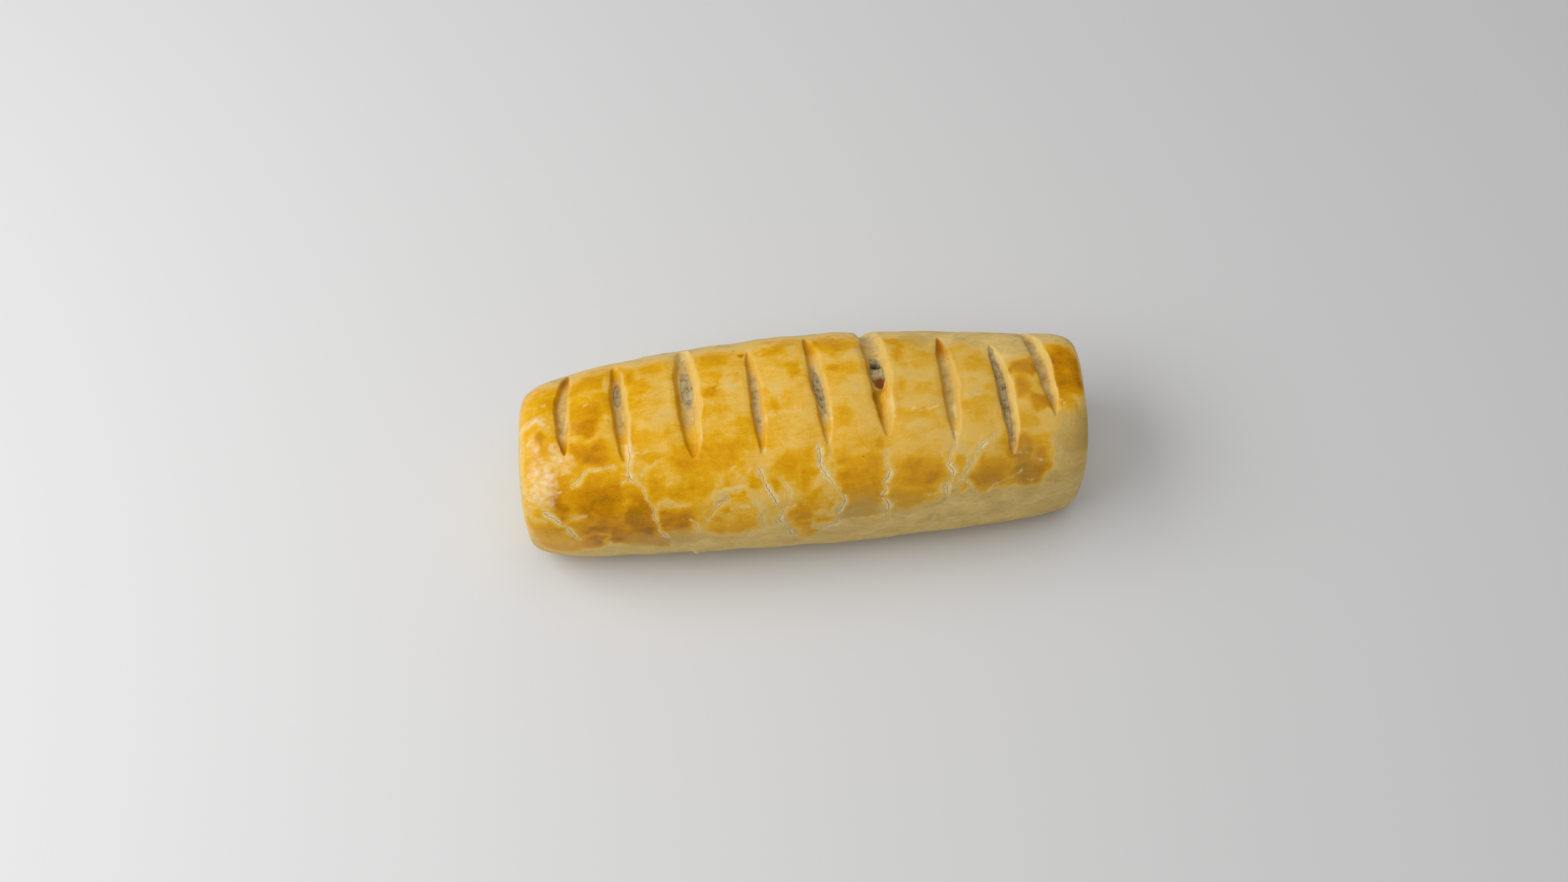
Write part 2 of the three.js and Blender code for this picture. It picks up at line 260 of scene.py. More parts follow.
# Dried film of egg at the left end, in the same form, whose whitish ridges also paint the highlights of the
# light on the glossy end
FILMS_AND_GLINTS = (
    (-68.5, -37, 5, 19, 1), (-70.5, 8, 5, 6, 1), (-65, -18, 2.5, 9, 0.9), (-68.5, 23, 2, 3, 0.85),
    (-71, -12, 3, 9, 0.8), (-63, -26, 3, 6, 0.75),
)
# Tan smears, where little wash lay, in the same form
TANS = (
    (-41, -86, 7, 9, 0.65), (-34, -83, 4.5, 8, 0.6), (12, -68, 6, 10, 0.85),
    (57, -50, 6, 17, 0.45), (46, -57, 6, 8, 0.35), (12, -56, 6, 7, 0.35), (22, -68, 4, 9, 0.45),
    (27, -68, 5, 7, 0.45), (33, -66, 3, 5, 0.4), (48, -66, 6, 5, 0.3), (57, -68, 5, 5, 0.35),
    (70, -33, 6, 19, 0.75), (57.5, -22, 4, 52, 0.25), (68, -62, 8, 8, 0.25), (2, -93, 4, 6, 0.3),
    (31, 37, 5, 7, 0.5), (44, 33, 5, 6, 0.35),
)

# Spots are a place along in mm, degrees round, half length in mm and half turn. First loose crumbs baked on
# and crumbly whites beside the slashes, with their heights; the whites, of height 0, are painted highlights
# where the light glints on the crumbly dough
CRUMBS_AND_GLINTS = (
    (1 * MM, (-31, -110, 0.9, 4)), (0.7 * MM, (-28.9, -107, 0.6, 3)), (0.6 * MM, (-29, 47, 1.1, 4)),
    (0.4 * MM, (-30.3, 43, 0.7, 2.5)), (0, (22.7, -8, 1.3, 8)), (0, (6.8, -12, 0.7, 9)),
    (0, (39.2, -14, 0.7, 8)), (0, (-61.9, 8, 0.6, 11)), (0, (-26.9, -16, 0.5, 7)),
    (0, (-45.4, -14, 0.6, 10)), (0, (-10.1, -11, 0.8, 2.5)), (0, (-12.8, 38.5, 1.7, 2.5)),
)
# Dark pits in the filling, each with its strength, whose dark is painted shade at their bottoms, and the
# spot of browned sauce
SHADED_HOLES = (
    (1, (20.3, 22, 2.2, 2.6)), (0.5, (4.6, 13, 0.45, 1.6)), (0.55, (4.9, 0, 0.5, 1.8)),
    (0.45, (5, -5.5, 0.4, 1.3)), (0.4, (52, 23, 0.35, 2)), (0.35, (52.8, 3, 0.3, 3)),
    (0.3, (53, -8, 0.3, 2)), (0.35, (52.4, -14, 0.3, 1.2)), (0.4, (-29.9, 8, 0.9, 1)),
    (0.4, (-48.2, 26, 0.4, 1.5)),
)
SAUCE = (20.9, 8, 1.9, 4.5)


def colour(code):
    """Turns an sRGB hex value into a linear colour."""
    parts = [int(code[start:start + 2], 16) / 255 for start in (1, 3, 5)]
    return [part / 12.92 if part <= 0.04045 else ((part + 0.055) / 1.055) ** 2.4 for part in parts] + [1]


def length_value(name, about, size):
    """A length that a user may change."""
    return FloatProperty(name=name, description=about, default=size, unit="LENGTH")


def share_value(name, about, share):
    """A share of the whole that a user may change."""
    return FloatProperty(name=name, description=about, default=share, subtype="FACTOR")


def colour_value(name, about, code):
    """A colour that a user may change, from its sRGB hex value."""
    return FloatVectorProperty(name=name, description=about, default=colour(code), size=4, subtype="COLOR")


class FishRollForm(bpy.types.PropertyGroup):
    """Driving sizes of the whole roll"""

    length: length_value("Length", "End to end along the roll", 150 * MM)
    half_width: length_value("Half Width", "Axis to side at the middle", 28.45 * MM)
    height: length_value("Height", "Base to top line", 41 * MM)
    widest_level: length_value("Widest Level", "Height at which the roll is widest", 18 * MM)
    section_power: FloatProperty(
        name="Section Power", description="Squareness of the oval section, 2 for an ellipse", default=2.5)
    flare: share_value("Flare", "Share by which the far right end widens", 0.08)
    flare_place: length_value("Flare Place", "Where along the roll the flare peaks", 72 * MM)
    flare_span: length_value("Flare Span", "Length over which the flare fades", 11 * MM)
    bow: length_value("Bow", "How far the ends bend towards the near side", 2.6 * MM)
    swell: length_value("Swell", "Height of the dough's slow swells", 0.4 * MM)
    sag: length_value("Sag", "How far the skin sags beside a slash", 0.8 * MM)
    sag_span: length_value("Sag Span", "Distance over which the sag fades", 3.5 * MM)


class FishRollCrust(bpy.types.PropertyGroup):
    """Relief and colours of the baked crust"""

    cells_along: IntProperty(name="Cells Along", description="Mesh cells along the roll", default=150)
    cells_across: IntProperty(name="Cells Across", description="Mesh cells over the top", default=48)
    cells_up: IntProperty(name="Cells Up", description="Mesh cells up a side", default=42)
    shut_depth: length_value("Shut Depth", "Depth of a slash that stays shut", 1.7 * MM)
    open_depth: length_value("Open Depth", "Depth of a slash at a window", 3.9 * MM)
    lip: length_value("Lip", "Height of the curled lip beside a slash", 0.15 * MM)
    crack_half_width: length_value("Crack Half Width", "Middle to edge of a crack's cleft", 0.16 * MM)
    crack_depth: length_value("Crack Depth", "Depth of a crack's cleft", 0.16 * MM)
    bed_depth: length_value("Bed Depth", "Depth of the crumbly bed of a crack", 0.14 * MM)
    crumb: length_value("Crumb", "Height of the crumbs and torn edges of a crack", 0.08 * MM)
    halo: length_value("Halo", "Pale dough on either side of a crack", 1.5 * MM)
    lump: length_value("Lump", "Height of the crust's small lumps", 0.28 * MM)
    bare: share_value("Bare", "Browning low on the sides, where no wash lay", 0.1)
    washed: share_value("Washed", "Browning where the egg wash lay", 0.43)
    dough: colour_value("Dough", "Pale dough", "#E4C577")
    straw: colour_value("Straw", "Lightly baked wash", "#E9BC58")
    golden: colour_value("Golden", "Golden wash", "#E2A812")
    amber: colour_value("Amber", "Well baked wash", "#CE8A06")
    brown: colour_value("Brown", "Darkest wash", "#9E6C08")
    cream: colour_value("Cream", "Dough laid bare at cracks", "#EACF8A")
    # The film colour also paints the highlights of the light on the left end
    film_and_glint: colour_value("Film", "Dried egg at the left end", "#F4DDB4")
    flour: colour_value("Flour", "Crumbly beds of the cracks", "#EFDFB8")
    # The lips colour is bare dough, and partly a painted highlight on the right slopes, which face the light
    lips: colour_value("Lips", "Bare dough beside the slashes", "#E8C672")
    # The seam colour paints the shade at the bottom of a crack's cleft
    seam: colour_value("Seam", "Bottom of a crack", "#A07838")
    soaked: colour_value("Soaked", "Thin dough over the filling", "#C4AC78")
    pit: colour_value("Pit", "Brown pits in the thin dough", "#A88C58")
    toasted: colour_value("Toasted", "Browned tips of slashes", "#BA7404")
    # The tan colour is also laid as painted shade on the right part of the roll
    tan: colour_value("Tan", "Thin smears of wash", "#BC9848")
    stain: colour_value("Stain", "Grey-brown blotches on the bare dough", "#B8985E")
    speck: colour_value("Speck", "Scattered dark specks", "#7A4A16")


class FishRollFilling(bpy.types.PropertyGroup):
    """Relief and colours of the fish filling"""

    cells_along: IntProperty(name="Cells Along", description="Mesh cells along the core", default=130)
    cells_across: IntProperty(name="Cells Across", description="Mesh cells over the core's top", default=40)
    cells_up: IntProperty(name="Cells Up", description="Mesh cells up the core's side", default=24)
    lump: length_value("Lump", "Height of the flakes of fish", 0.45 * MM)
    proud: length_value("Proud", "How far the filling stands out of a window", 0.15 * MM)
    dip: length_value("Dip", "Depth of the hole in the filling under the widest slash", 1.6 * MM)
    flesh: colour_value("Flesh", "Cooked fish", "#C2AD80")
    moist: colour_value("Moist", "Fish wet with sauce", "#AE9868")
    # The shade colour is painted shade in the gaps between flakes, where the bump sinks
    shade: colour_value("Shade", "Moist gaps between flakes", "#86683E")
    # The gap colour is painted shade at the bottom of the hole and of the pits
    gap: colour_value("Gap", "Bottom of the hole in the filling", "#2E1F10")
    sauce: colour_value("Sauce", "Browned sauce and spice", "#7C4204")


class FishRollStage(bpy.types.PropertyGroup):
    """Camera, light and floor"""

    azimuth: FloatProperty(
        name="Azimuth", description="Camera's turn round the roll", default=math.radians(-5.653),
        subtype="ANGLE")
    pitch: FloatProperty(
        name="Pitch", description="Camera's angle above the floor", default=math.radians(60), subtype="ANGLE")
    distance: length_value("Distance", "Camera to its target", 490.2 * MM)
    target_along: length_value("Target Along", "Camera's target along the roll", -3.8 * MM)
    target_across: length_value("Target Across", "Camera's target across the roll", 10.7 * MM)
    lens: FloatProperty(name="Lens", description="Focal length in mm on a 36 mm sensor", default=39.65)
    window_power: FloatProperty(
        name="Window Power", description="Power of the soft light from the left", default=3.6, unit="POWER")
    window_width: length_value("Window Width", "Width of the soft light from the left", 0.8)
    window_height: length_value("Window Height", "Height of the soft light from the left", 0.45)
    ceiling_power: FloatProperty(
        name="Ceiling Power", description="Power of the soft light overhead", default=5, unit="POWER")
    ceiling_size: length_value("Ceiling Size", "Side of the soft light overhead", 1.2)
    sky: FloatProperty(name="Sky", description="Strength of the even light all round", default=0.33)
    floor: colour_value("Floor", "Pale floor", "#DADADA")


def smooth(low, high, value):
    """Eases from 0 at low to 1 at high."""
    share = np.clip((value - low) / (high - low), 0, 1)
    return share * share * (3 - 2 * share)


def bell(distance, width):
    """Falls smoothly from 1 in the middle to nothing past the width."""
    return np.exp(-((distance / width) ** 2))


# Noise is read this far from the origin, because it has a crease there
NOISE_PLACE = Vector((7.3, 5.1, 3.7))


def noise_at(points, size):
    """Smooth noise between about -1 and 1, with features of a given size."""
    return np.array([noise.noise(Vector(point) / size + NOISE_PLACE) for point in points])


def end_value(along, name):
    """A value of the left or the right end, by the side of the middle that a place is on."""
    return np.where(along < 0, getattr(LEFT_END, name), getattr(RIGHT_END, name))


def end_power(along, turn):
    """Bluntness of the end that a place is nearer to."""
    return end_value(along, "power") + end_value(along, "power_change") * np.sin(turn)


# Places on the loaf: along from -1 to 1 over the length, reach from 0 on the axis to 1 at the skin,
# turn as the angle from the top line, positive towards the far side, and x as the distance along
Chart = namedtuple("Chart", "along reach turn x")


def chart_of(form, corners):
    """Reads places on a box, two units a side, as places on the loaf."""
    along = corners[:, 0]
    across, up = np.tan(corners[:, 1:].T * HALF_TURN_OF_A_FACE)
    reach = np.max(np.abs(corners[:, 1:]), axis=1)
    turn = np.arctan2(across, up)
    power = end_power(along, turn)
    share = along * (np.abs(along) ** power + reach ** power) ** (-1 / power)
    return Chart(along, reach, turn, form.length / 2 * share)


def chart_on_skin(form, x, turn):
    """Places on the skin at given distances along and angles round."""
    share = x / (form.length / 2)
    power = end_power(share, turn)
    along = share / (1 - np.abs(share) ** power) ** (1 / power)
    return Chart(along, np.ones_like(x), turn, x)


def layer_chart(form, layer, corners):
    """As chart_of, with the distance along of an inner layer, which is shorter than the skin."""
    chart = chart_of(form, corners)
    return chart._replace(x=chart.x * (1 - layer.end / (form.length / 2)))


def layer_points(form, layer, chart, relief):
    """Points of a layer of the loaf, raised outwards by the relief."""
    along, reach, turn, x = chart
    blunt = end_power(along, turn)
    scale = (np.abs(along) ** blunt + reach ** blunt) ** (-1 / blunt)
    share = along * scale
    across, up = np.sin(turn), np.cos(turn)
    power = form.section_power
    oval = (np.abs(across) ** power + np.abs(up) ** power) ** (-1 / power)
    flare = form.flare * bell(x - form.flare_place, form.flare_span) * 0.5 * (1 + across)
    barrel = form.half_width - (form.half_width - end_value(along, "half_width")) * share ** 2
    half_width = barrel * (1 + flare) - layer.side + relief
    crown = (form.height - form.widest_level) * (1 - end_value(along, "drop") * share ** 2)
    rise = crown - layer.top + relief
    fall = form.widest_level - layer.bottom + relief
    y = half_width * reach * scale * oval * across
    z = form.widest_level + np.where(up > 0, rise, fall) * reach * scale * oval * up
    slant = end_value(along, "slant") * np.abs(share) ** 3 * y / form.half_width
    across_bow = y - form.bow * share ** 2
    return np.column_stack(((form.length / 2 - layer.end) * share + slant, across_bow, np.maximum(z, 0)))


# A slash at given places: share of the way from its far to its near end, distance aside from its middle line,
# its half width there, and how that tapers from 1 to nothing at its ends
Cut = namedtuple("Cut", "share aside half taper")
TAPER_POWER = 0.45
LEAST_HALF = 0.01 * MM
LEAST_TAPER = 0.02


def cut_at(slash, chart):
    """Where places lie in a slash."""
    places, degrees = np.transpose(slash.route)
    turns = np.radians(degrees)
    far, near = turns[0], turns[-1]
    share = np.clip((far - chart.turn) / (far - near), 0, 1)
    middle = np.polyval(np.polyfit(turns, places * MM, 2), np.clip(chart.turn, near, far))
    middle += sum(reach * np.sin(waves * chart.turn + places[0]) for waves, reach in WAVER)
    taper = np.sin(math.pi * share) ** TAPER_POWER
    waves, reach = WIDTH_WAVER
    half = slash.width * MM / 2 * taper * (1 + reach * np.sin(waves * chart.turn + 2 * places[0]))
    return Cut(share, chart.x - middle, half, taper)


def half_widths_aside(cut):
    """Distance aside from the middle line of a slash, in half widths."""
    return cut.aside / np.maximum(cut.half, LEAST_HALF)


def trough_at(cut):
    """1 on the floor of a slash, with a steep left wall and a broad right slope."""
    across = half_widths_aside(cut)
    return smooth(*LEFT_WALL, across) * (1 - smooth(*RIGHT_SLOPE, across)) * (cut.taper > LEAST_TAPER)


def stretch_at(turn, stretch, fade):
    """1 inside a stretch of degrees round from the top line, easing out at both ends."""
    high, low = stretch
    degrees = np.degrees(turn)
    return smooth(low - fade, low + fade, degrees) * (1 - smooth(high - fade, high + fade, degrees))


# Edge of a window: the shares of its oval between which it fades, and how ragged it is inside the last share
WINDOW_FADE = (0.75, 1.05)
WINDOW_RAG = 0.12
WINDOW_RAG_SIZE = 1.1 * MM
WINDOW_RAG_REACH = 1.5


def window_at(slash, chart, cut, growth=1):
    """1 in the ovals where a slash is worn through to the filling, or in larger ones."""
    opening = np.zeros_like(chart.x)
    degrees = np.degrees(chart.turn)
    for middle, half_turn, half_width, aside in slash.windows:
        sideways = (cut.aside - aside * MM) / (half_width * MM)
        oval = np.hypot(sideways, (degrees - middle) / half_turn) / growth
        near = np.flatnonzero(oval < WINDOW_RAG_REACH)
        places = np.column_stack((chart.x[near], DEGREE_LENGTH * degrees[near], np.zeros(len(near))))
        oval[near] += WINDOW_RAG * noise_at(places, WINDOW_RAG_SIZE)
        opening = np.maximum(opening, 1 - smooth(*WINDOW_FADE, oval))
    return opening


def spot_at(chart, spot):
    """1 in the middle of a round spot, fading past its half length and half turn."""
    place, middle, half_length, half_turn = spot
    along = bell((chart.x / MM - place) / half_length, 1)
    return along * bell((np.degrees(chart.turn) - middle) / half_turn, 1)


def patch_at(x, degrees, patch):
    """The change that a patch makes: even inside, with a soft fall at its edge."""
    place, turn, half_length, half_turn, change = patch
    reach = np.hypot((x - place) / half_length, (degrees - turn) / half_turn)
    return change * (1 - smooth(*PATCH_FADE, reach))


def dough_relief(form, chart):
    """The slow swells, and the sag beside each slash."""
    lengthwise = sum(np.sin(chart.x / wave + SWELL_START) for wave in SWELL_WAVES) / len(SWELL_WAVES)
    relief = form.swell * lengthwise * np.sin(SWELL_TURNS * chart.turn + SWELL_START)
    for slash in SLASHES:
        cut = cut_at(slash, chart)
        far, middle, near = np.radians(np.transpose(slash.route)[1])
        fade = np.exp(-(((chart.turn - middle) / (0.5 * (far - near))) ** 4))
        relief -= form.sag * fade * bell(cut.aside, form.sag_span)
    return relief


def slash_relief(crust, chart):
    """The slashes' troughs, deeper at the windows, and the lips beside them."""
    relief = np.zeros_like(chart.x)
    for slash in SLASHES:
        cut = cut_at(slash, chart)
        relief -= crust.shut_depth * cut.taper * trough_at(cut)
        relief -= (crust.open_depth - crust.shut_depth) * window_at(slash, chart, cut)
        relief += crust.lip * cut.taper * bell(cut.aside + cut.half + LEFT_LIP.past, LEFT_LIP.width)
        past_slope = cut.aside - RIGHT_SLOPE[1] * cut.half
        relief += crust.lip * cut.taper * bell(past_slope - RIGHT_LIP.past, RIGHT_LIP.width)
    return relief


# Cracks are sampled in steps. They wander in waves of these sizes and reaches, from a seed, fade at their
# ends, and gape by a middle share that changes over a size and never falls below the least one.
CRACK_STEP = 0.12 * MM
CRACK_WANDER = ((1.4 * MM, 0.32 * MM), (0.5 * MM, 0.16 * MM))
WANDER_SEED = 1
CRACK_FADE = 1.4 * MM
GAPE, GAPE_CHANGE, LEAST_GAPE = 0.85, 0.8, 0.6
GAPE_SIZE = 3 * MM
WANDER_ROW, GAPE_ROW = 0.5, 3.5


def route_samples(route, seed):
    """A crack's route as closely spaced places, wandering a little, and how wide it gapes at each."""
    places = np.array(route) * (MM, DEGREE_LENGTH)
    lengths = np.concatenate(([0], np.cumsum(np.linalg.norm(np.diff(places, axis=0), axis=1))))
    steps = np.arange(0, lengths[-1], CRACK_STEP)
    moved = np.column_stack([np.interp(steps, lengths, places[:, axis]) for axis in (0, 1)])
    for size, reach in CRACK_WANDER:
        wander = [noise.noise_vector(Vector((step / size, seed, WANDER_ROW))) for step in steps]
        moved += reach * np.array(wander)[:, :2]
    ease = np.clip(np.minimum(steps + CRACK_FADE / 3, lengths[-1] - steps) / CRACK_FADE, 0, 1)
    gape = [GAPE + GAPE_CHANGE * noise.noise(Vector((step / GAPE_SIZE, seed, GAPE_ROW))) for step in steps]
    return moved[:, 0], np.radians(moved[:, 1] / DEGREE_LENGTH), ease * np.clip(gape, LEAST_GAPE, 1)


class CrackMap:
    """Nearest crack to a point: how far it is and how wide it gapes there."""

    def __init__(self, form, groups):
        noise.seed_set(WANDER_SEED)
        points, self.strength = [], []
        for strength, routes in groups:
            for seed, route in enumerate(routes):
                x, turn, ease = route_samples(route, seed + 10 * strength)
                chart = chart_on_skin(form, x, turn)
                points.extend(layer_points(form, SKIN, chart, dough_relief(form, chart)))
                self.strength.extend(strength * ease)
        self.tree = KDTree(len(points))
        for index, point in enumerate(points):
            self.tree.insert(point, index)
        self.tree.balance()

    def nearest(self, points):
        found = [self.tree.find(point)[1:] for point in points]
        index, distance = np.array(found).T
        return distance, np.array(self.strength)[index.astype(int)]


# Torn bed of a crack: how ragged it is, where it fades out, its raised edge and its crumbs
BED_RAG, BED_RAG_SIZE = 0.5 * MM, 1.2 * MM
BED_FADE = (0.3 * MM, 1 * MM)
BED_EDGE, BED_EDGE_WIDTH = 1.1 * MM, 0.35 * MM
BED_CRUMB_SIZE = 0.5 * MM
LEAST_CLEFT = 0.7


def cleft_half_width(crust, strength):
    """Middle to edge of a crack's cleft, which narrows a little where the crack hardly gapes."""
    return crust.crack_half_width * np.maximum(strength, LEAST_CLEFT)


def crack_relief(crust, points, distance, strength):
    """Where the washed skin has torn: a shallow crumbly bed between raised edges, with a cleft along it."""
    half = cleft_half_width(crust, strength)
    cleft = crust.crack_depth * strength * (1 - smooth(0, 1, distance / half))
    ragged = distance + BED_RAG * noise_at(points, BED_RAG_SIZE)
    bed = strength * (1 - smooth(*BED_FADE, ragged))
    torn_edge = crust.crumb * strength * bell(ragged - BED_EDGE, BED_EDGE_WIDTH)
    crumbs = crust.crumb * bed * noise_at(points, BED_CRUMB_SIZE)
    return crumbs + torn_edge - cleft - crust.bed_depth * bed, bed


# Lumps of the baked skin: sizes, and their shares of the height
LUMP_SIZES = ((9 * MM, 1), (3 * MM, 0.45))


def lump_relief(points, height):
    """Small lumps and dimples of the baked skin."""
    return height * sum(share * noise_at(points, size) for size, share in LUMP_SIZES)


def box_of_cells(counts):
    """A closed box, two units a side, with every face cut into a grid."""
    shape = bmesh.new()
    bmesh.ops.create_cube(shape, size=2)
    for axis, count in enumerate(counts):
        running = []
        for edge in shape.edges:
            span = edge.verts[1].co - edge.verts[0].co
            if abs(span[axis]) > 0.5 * span.length:
                running.append(edge)
        bmesh.ops.subdivide_edges(shape, edges=running, cuts=count - 1, use_grid_fill=True)
    return shape


def split_cells(shape, chosen):
    """Cuts each of the chosen cells in four."""
    edges = {edge for index in np.flatnonzero(chosen) for edge in shape.faces[index].edges}
    bmesh.ops.subdivide_edges(shape, edges=list(edges), cuts=1, use_grid_fill=True)


def cell_middles(shape):
    """Middles of a shape's cells, in order."""
    shape.faces.ensure_lookup_table()
    return np.array([face.calc_center_median() for face in shape.faces])


# Distances from a slash's edge, a crack and a stretch line within which cells are split, round by round
SLASH_BANDS = (2.2 * MM, 0.3 * MM)
CRACK_BANDS = (1.8 * MM, 0.9 * MM, 0.35 * MM)
LINE_BANDS = (1.4 * MM, 0.7 * MM)
SPLIT_STRENGTH = 0.05
SPLIT_TAPER = 0.1


def refine_crust(form, shape, cracks, lines):
    """Finer cells along the slashes and cracks, and finer again close to their edges."""
    for level, crack_band in enumerate(CRACK_BANDS):
        chart = chart_of(form, cell_middles(shape))
        points = layer_points(form, SKIN, chart, dough_relief(form, chart))
        distance, strength = cracks.nearest(points)
        chosen = (distance < crack_band) & (strength > SPLIT_STRENGTH)
        if level < len(LINE_BANDS):
            chosen |= lines.nearest(points)[0] < LINE_BANDS[level]
        if level < len(SLASH_BANDS):
            for slash in SLASHES:
                cut = cut_at(slash, chart)
                chosen |= (np.abs(cut.aside) < cut.half + SLASH_BANDS[level]) & (cut.taper > SPLIT_TAPER)
        split_cells(shape, chosen)


# The core's cells are split inside windows grown by these, round by round
CORE_BANDS = (2.5, 1.8)


def refine_core(form, shape):
    """Finer cells of the core under the windows."""
    for growth in CORE_BANDS:
        chart = layer_chart(form, CORE, cell_middles(shape))
        chosen = np.zeros(len(shape.faces), bool)
        for slash in SLASHES:
            chosen |= window_at(slash, chart, cut_at(slash, chart), growth) > 0
        split_cells(shape, chosen)


def mesh_from(name, shape):
    """Closes a bmesh into a mesh of triangles and quads."""
    many_sided = [face for face in shape.faces if len(face.verts) > 4]
    bmesh.ops.triangulate(shape, faces=many_sided)
    mesh = bpy.data.meshes.new(name)
    shape.to_mesh(mesh)
    shape.free()
    return mesh


def corners_of(mesh):
    """Places of a mesh's vertices."""
    places = np.empty(len(mesh.vertices) * 3, np.float32)
    mesh.vertices.foreach_get("co", places)
    return places.reshape(-1, 3).astype(float)


def set_points(mesh, points):
    """Moves a mesh's vertices to new places."""
    mesh.vertices.foreach_set("co", np.asarray(points, np.float32).ravel())
    mesh.update()


def set_values(mesh, fields):
    """Stores numbers on every vertex, for the materials to read."""
    for name, values in fields.items():
        layer = mesh.attributes.new(name, "FLOAT", "POINT")
        layer.data.foreach_set("value", np.asarray(np.clip(values, 0, 1), np.float32))


def add_object(name, mesh):
    """Puts a mesh in the scene."""
    piece = bpy.data.objects.new(name, mesh)
    bpy.context.scene.collection.objects.link(piece)
    return piece


# Cells of the plain boxes that the skin is measured with and the hollow is cut with
OUTLINE_CELLS = (60, 24, 20)
HOLLOW_CELLS = (44, 16, 12)


def frame_shift(form):
    """What moves the formula's points to the frame, whose origin is the middle of the base."""
    shape = box_of_cells(OUTLINE_CELLS)
    chart = chart_of(form, np.array([vertex.co for vertex in shape.verts]))
    shape.free()
    points = layer_points(form, SKIN, chart, dough_relief(form, chart))
    low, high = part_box("pastry")
    middle = (points.min(axis=0) + points.max(axis=0)) / 2
    return np.array(((low.x + high.x) / 2 - middle[0], (low.y + high.y) / 2 - middle[1], 0))


def hollow_out(piece, form, shift):
    """Cuts the space of the filling out of the crust, which opens the slashes' windows."""
    mesh = mesh_from("hollow", box_of_cells(HOLLOW_CELLS))
    chart = layer_chart(form, HOLLOW, corners_of(mesh))
    set_points(mesh, layer_points(form, HOLLOW, chart, dough_relief(form, chart)) + shift)
    cutter = add_object("hollow", mesh)
    cut = piece.modifiers.new("hollow", "BOOLEAN")
    cut.operation = "DIFFERENCE"
    cut.solver = "MANIFOLD"
    cut.object = cutter
    whole = piece.data
    piece.data = bpy.data.meshes.new_from_object(piece.evaluated_get(bpy.context.evaluated_depsgraph_get()))
    piece.modifiers.clear()
    if len(piece.data.polygons) <= len(whole.polygons) // 2:
        raise RuntimeError("the crust was lost when it was hollowed out")
    bpy.data.objects.remove(cutter)
    bpy.data.meshes.remove(mesh)
    bpy.data.meshes.remove(whole)


def browning_at(crust, chart, points):
    """How far each place is baked, from bare dough to dark wash, how tan it is, with painted shade towards
    the right, and how filmed with egg, with painted highlights at the left end.
    """
    x, degrees = chart.x / MM, np.degrees(chart.turn)
    at_end = 1 - smooth(END_FACE - END_FACE_FADE, END_FACE + END_FACE_FADE, x)
    at_end *= stretch_at(chart.turn, BARE_END, BARE_END_FADE)
    for size, along, around in DRAGS:
        x = x + along * noise_at(points, size)
        degrees = degrees + around * noise_at(points[:, ::-1], size)
    near = np.interp(x, *np.transpose(NEAR_WASH_EDGE))
    far = np.interp(x, *np.transpose(FAR_WASH_EDGE))
    below, above = WASH_FADE
    washed = smooth(near - below, near + above, degrees) * (1 - smooth(far - below, far + above, degrees))
    brushed = smooth(*END_WASH, chart.reach)
    washed *= (1 - at_end) * brushed
    browning = crust.bare + (crust.washed - crust.bare) * washed - WASH_LOSS * x * washed
    changes = [patch_at(x, degrees, patch) for patch in PATCHES]
    browning += brushed * (np.max(changes, axis=0) + np.min(changes, axis=0))
    # Painted shade: the wash tanned duller towards the right, where less light falls
    dull_shade = DULL_SHADE_SHARE * washed * smooth(*DULL_SHADE_START, x) * (1 - smooth(*DULL_SHADE_END, x))
    tan_and_shade = np.maximum(np.max([patch_at(x, degrees, tan) for tan in TANS], axis=0), dull_shade)
    film_and_glint_share = np.max([patch_at(x, degrees, film_and_glint) for film_and_glint in FILMS_AND_GLINTS], axis=0)
    return browning, tan_and_shade, film_and_glint_share


def slash_colours(chart):
    """Where the slashes show bare right slopes that partly paint a highlight, soaked floors, toasted tips,
    and browned left walls that paint shade.
    """
    bare, soaked, toasted, wall_shade = (np.zeros_like(chart.x) for _ in range(4))
    for slash in SLASHES:
        cut = cut_at(slash, chart)
        trough = trough_at(cut)
        across = half_widths_aside(cut)
        past_slope = cut.aside - RIGHT_SLOPE[1] * cut.half
        # The pale slope is bare dough and partly a painted highlight of the light from the left
        slope = slash.pale * smooth(*PALE_LIT_SLOPE, across) * (1 - smooth(*PALE_LIT_EDGE, past_slope))
        far, floor, near = slash.toasts
        toast = floor + (far - floor) * (1 - smooth(*FAR_TIP, cut.share))
        toast += (near - floor) * smooth(*NEAR_TIP, cut.share)
        high, low, strength = slash.soak
        floored = trough * smooth(*SOAKED_FLOOR, across)
        soaked = np.maximum(soaked, strength * floored * stretch_at(chart.turn, (high, low), SOAK_FADE))
        toasted = np.maximum(toasted, np.sqrt(trough) * toast)
        bare = np.maximum(bare, slope * np.sqrt(cut.taper) * (1 - TOAST_COVER * toast))
        # Painted shade on each slash's left wall, which faces away from the light
        wall_shade = np.maximum(wall_shade, cut.taper * bell(across - SHADED_WALL, SHADED_WALL_WIDTH))
    return bare, soaked, toasted, wall_shade


def add_node(tree, kind, values=None, links=None, stops=None, output=0, **settings):
    """Adds a node, with its sockets' constants, what feeds its sockets, a ramp's stops and its settings, and
    returns one of its outputs."""
    node = tree.nodes.new("ShaderNode" + kind)
    for name, value in settings.items():
        setattr(node, name, value)
    for socket, value in (values or {}).items():
        node.inputs[socket].default_value = value
    for socket, source in (links or {}).items():
        tree.links.new(source, node.inputs[socket])
    for index, (place, tone) in enumerate(stops or ()):
        elements = node.color_ramp.elements
        element = elements[index] if index < len(elements) else elements.new(place)
        element.position = place
        element.color = tone
    return node.outputs[output]


# Sockets of a colour Mix node
FACTOR, FIRST, SECOND, RESULT = 0, 6, 7, 2


